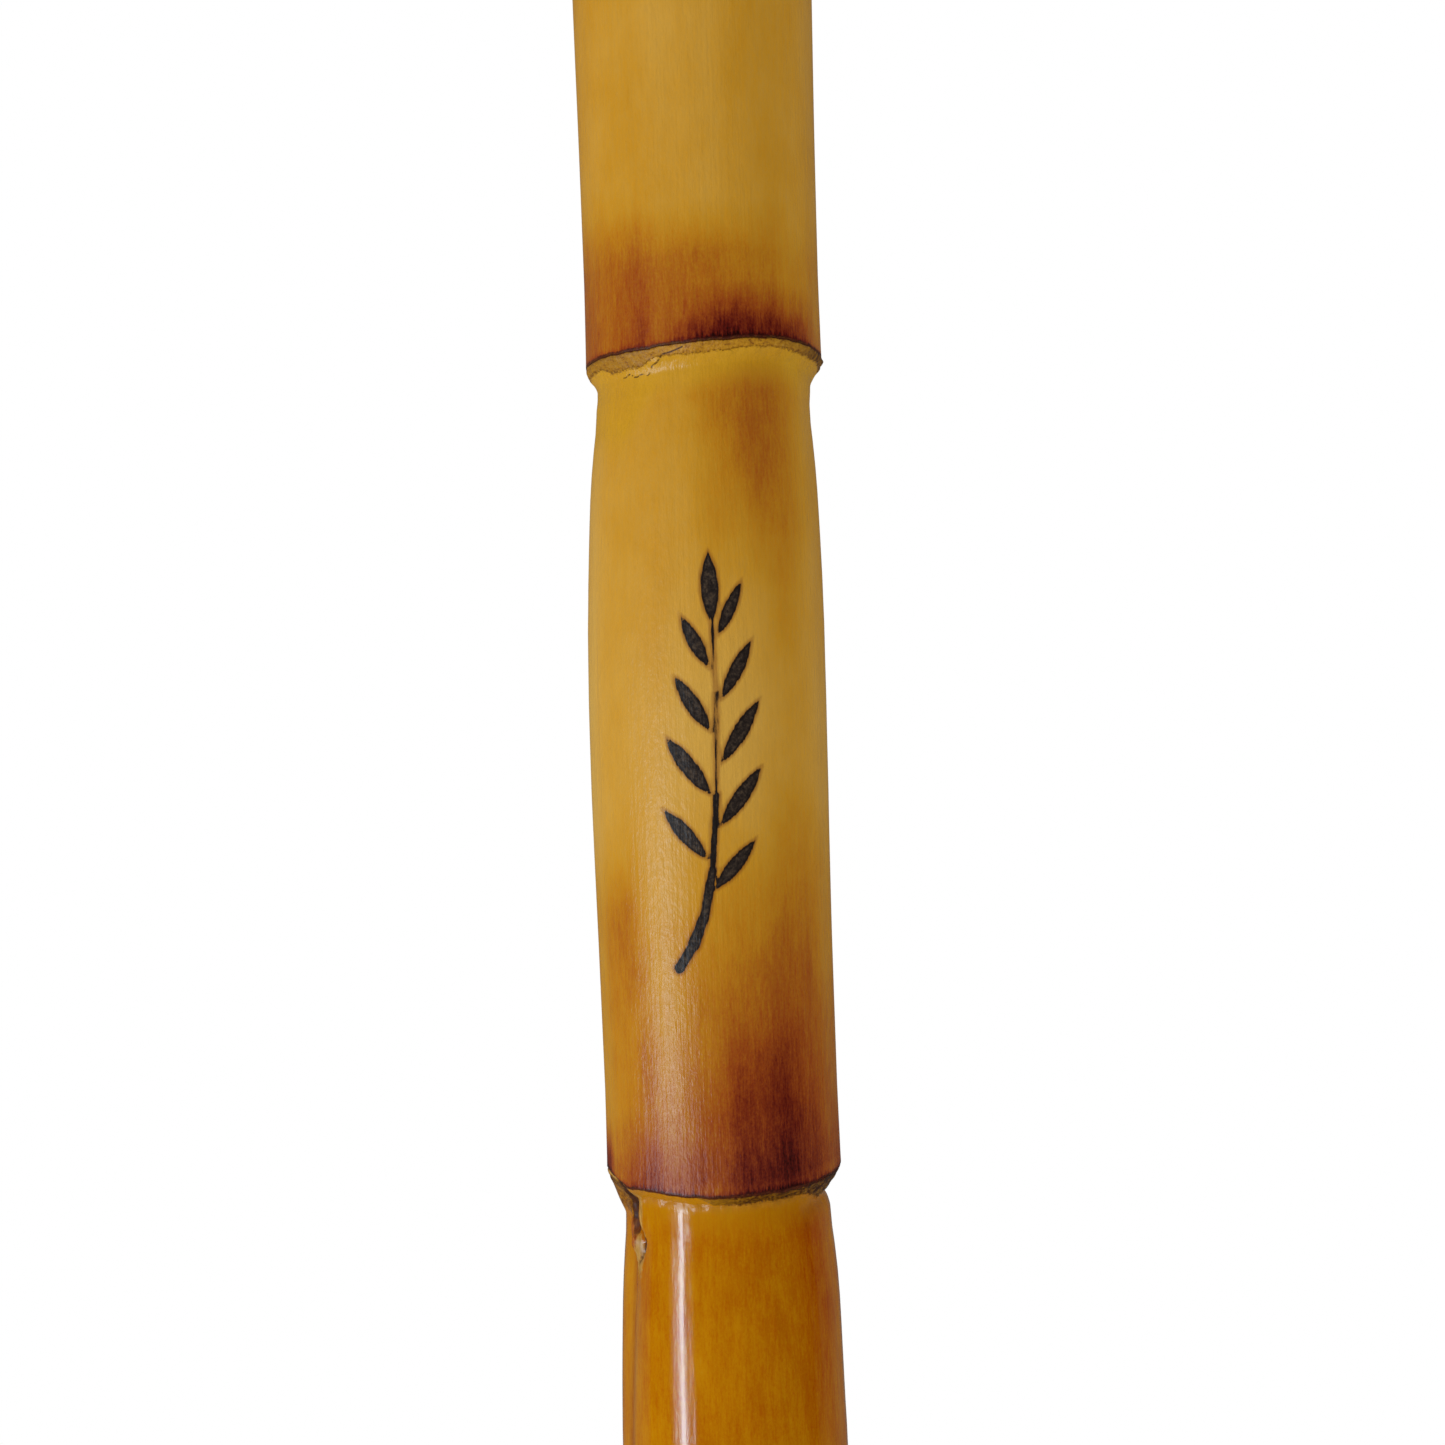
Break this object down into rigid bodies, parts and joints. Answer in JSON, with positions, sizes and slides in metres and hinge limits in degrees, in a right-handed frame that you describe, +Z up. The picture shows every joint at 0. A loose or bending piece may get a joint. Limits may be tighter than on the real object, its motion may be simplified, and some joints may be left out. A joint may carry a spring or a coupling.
{
  "type": "end-blown reed flute",
  "caption": "Long end-blown flute of natural node-jointed reed with burnt nodes, finger holes, metal end ferrules and a flared mouthpiece on a thread-wound tenon.",
  "frame": {"origin": "centre of the foot's end face, on the bore's axis", "axes": "+Z up the bore to the mouthpiece; the six finger holes face -Y and the thumb hole +Y; +X is to the right of someone who looks along +Y at the finger holes"},
  "size_m": [0.035, 0.035, 0.7542],
  "materials": {
    "varnished_reed": "flame-toasted giant reed under gloss varnish",
    "brass": "satin, lightly aged",
    "black_horn": "polished black horn",
    "waxed_thread": "waxed linen thread"
  },
  "bodies": {
    "flute": {"reed": "varnished_reed", "upper_ferrule": "brass", "lower_ferrule": "brass"},
    "winding": {"tenon_winding": "waxed_thread"},
    "mouthpiece": {"mouthpiece": "black_horn"}
  },
  "joints": [
    {"name": "mouthpiece_pull", "type": "slide", "parent": "flute", "child": "winding", "axis": [0, 0, 1], "range_m": [0, 0.045]},
    {"name": "mouthpiece_twist", "type": "hinge", "parent": "winding", "child": "mouthpiece", "pos_m": [0, 0, 0.711], "axis": [0, 0, 1], "continuous": true}
  ]
}
